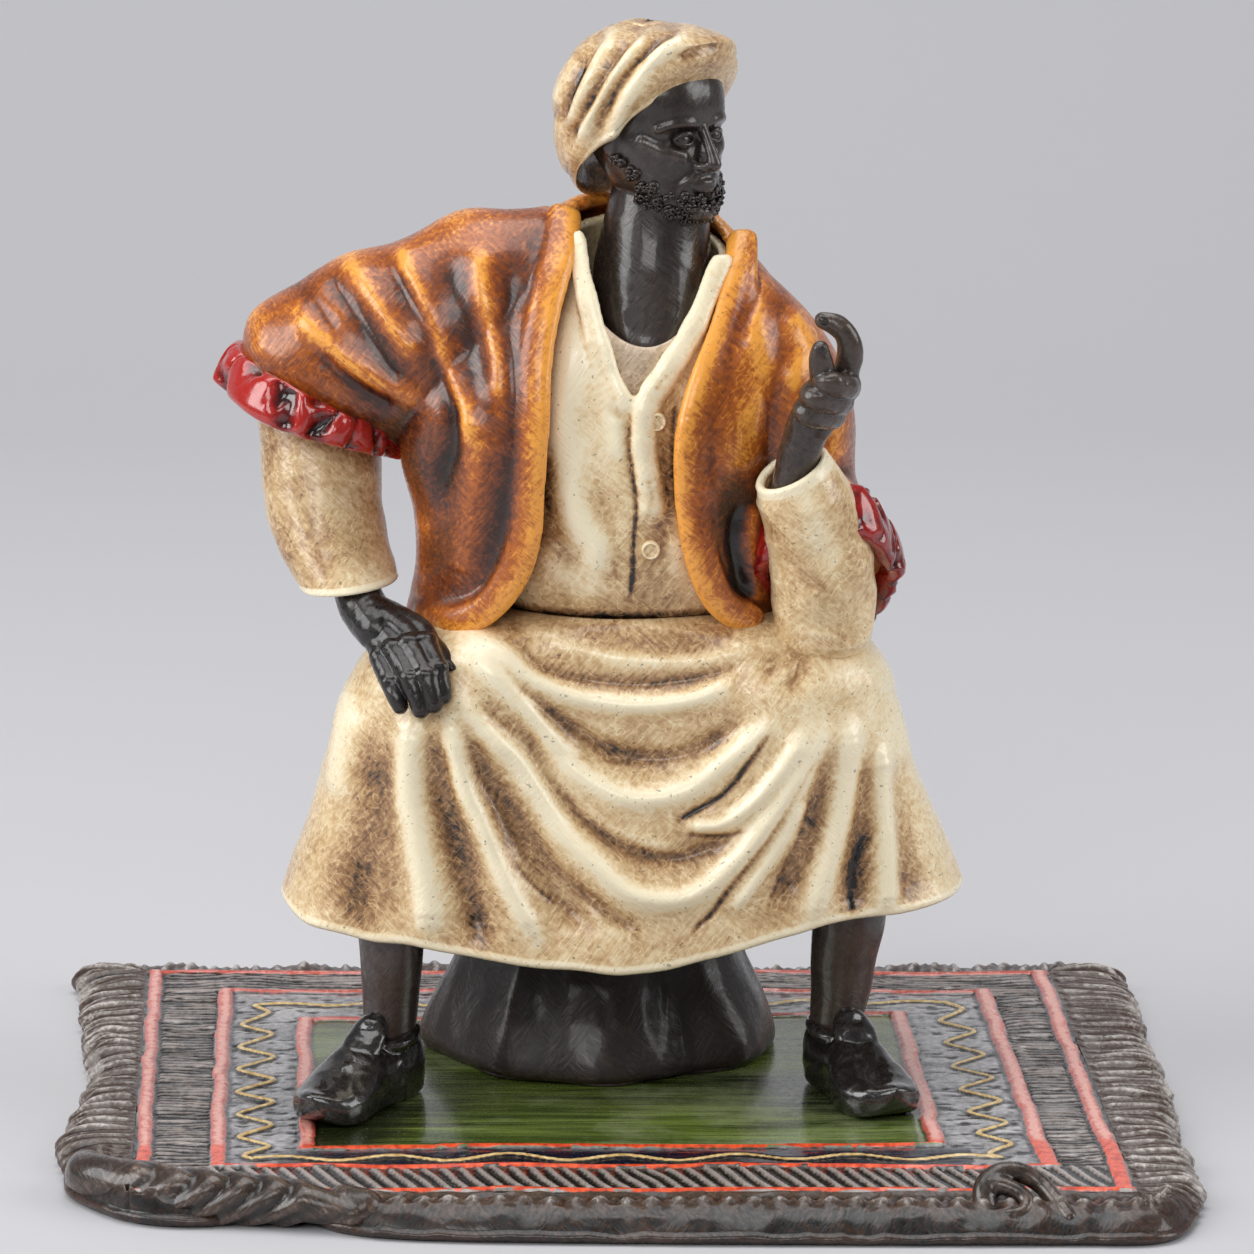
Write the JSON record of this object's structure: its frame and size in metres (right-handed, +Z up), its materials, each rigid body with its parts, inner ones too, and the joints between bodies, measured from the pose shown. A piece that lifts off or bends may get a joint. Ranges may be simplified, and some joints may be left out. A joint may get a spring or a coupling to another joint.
{
  "type": "figurine",
  "caption": "Painted bronze figurine of a seated bearded man in a turban, robe and short jacket on a draped stump on a fringed rug.",
  "frame": {"origin": "middle of the rug's underside", "axes": "+Z up, +X along the rug's length to the figure's left, the figure looks along -Y"},
  "size_m": [0.216, 0.17, 0.2062],
  "materials": {
    "rug_bronze": "dark brown bronze with painted bands",
    "stump_bronze": "dark brown semi-gloss",
    "cream_paint": "cream cold paint with brown glaze in the hollows",
    "jacket_paint": "glossy orange-brown cold paint",
    "red_paint": "glossy red cold paint",
    "skin_bronze": "dark brown semi-gloss",
    "slipper_black": "black gloss",
    "undershirt_paint": "grey-brown matt",
    "brass": "plain turned brass"
  },
  "bodies": {
    "root": {"rug": "rug_bronze", "rock_seat": "stump_bronze", "robe": "cream_paint", "tie_rod": "brass", "rod_washer": "brass", "rod_nut": "brass", "leg_right": "skin_bronze", "leg_left": "skin_bronze", "slipper_right": "slipper_black", "slipper_left": "slipper_black", "slipper_screws": "brass", "shirt_body": "cream_paint", "undershirt": "undershirt_paint", "jacket": "jacket_paint", "cuff_right": "red_paint", "cuff_left": "red_paint", "sleeve_right": "cream_paint", "sleeve_left": "cream_paint", "hand_right": "skin_bronze", "hand_left": "skin_bronze", "wrist_dowels": "brass", "head": "skin_bronze", "neck_dowel": "brass", "turban": "cream_paint"}
  },
  "joints": []
}
